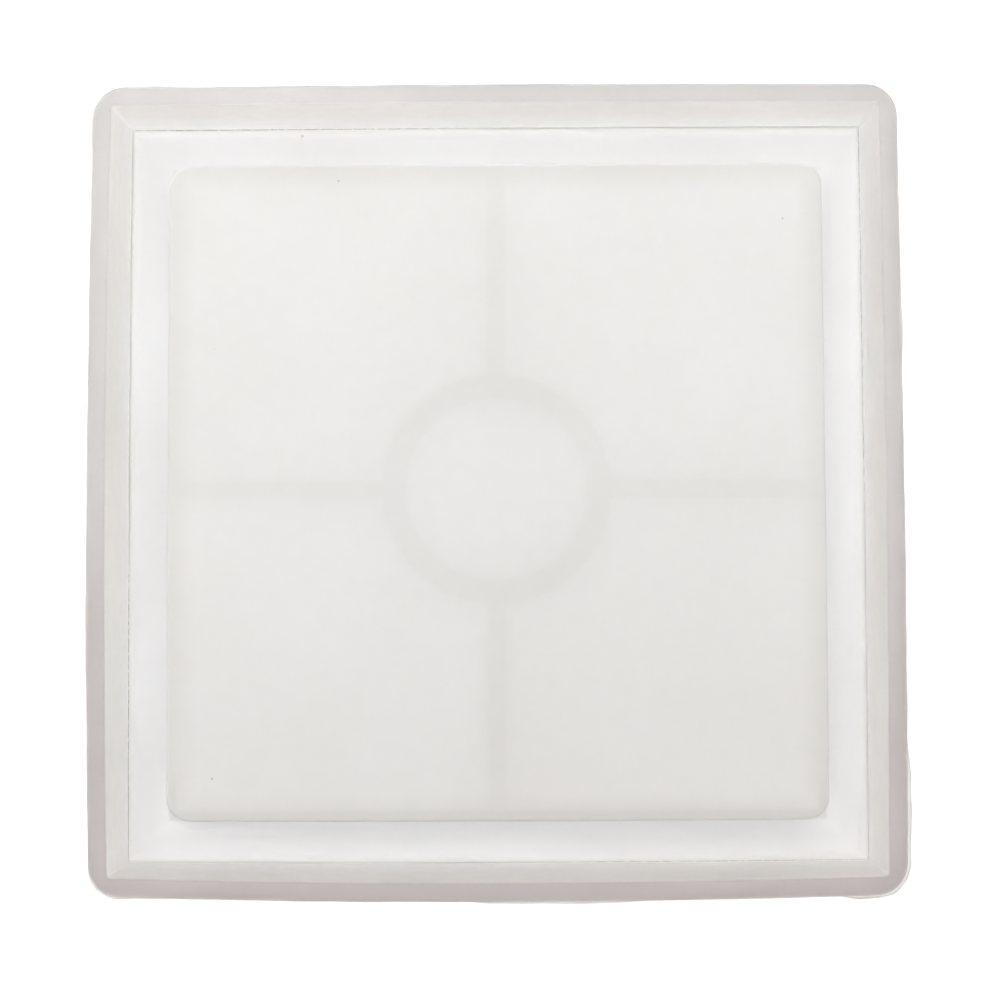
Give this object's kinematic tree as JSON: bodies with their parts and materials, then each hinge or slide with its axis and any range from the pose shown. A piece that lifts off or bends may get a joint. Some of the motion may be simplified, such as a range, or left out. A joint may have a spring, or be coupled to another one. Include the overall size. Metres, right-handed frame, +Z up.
{
  "type": "resin casting mould",
  "caption": "Square silicone tray mould with a low raised island inside upright walls, hollow and ribbed underneath, for casting resin trays.",
  "frame": {"origin": "centre of the underside, on the table that the mould stands on", "axes": "+Z up, out of the open side; -Y towards the front wall; +X towards the right wall"},
  "size_m": [0.2142, 0.2142, 0.028],
  "materials": {
    "silicone": "satin"
  },
  "bodies": {
    "root": {"front_wall": "silicone", "back_wall": "silicone", "left_wall": "silicone", "right_wall": "silicone", "trough_floor": "silicone", "island_skirt": "silicone", "island_top": "silicone", "support_ring": "silicone", "front_rib": "silicone", "back_rib": "silicone", "left_rib": "silicone", "right_rib": "silicone"}
  },
  "joints": []
}
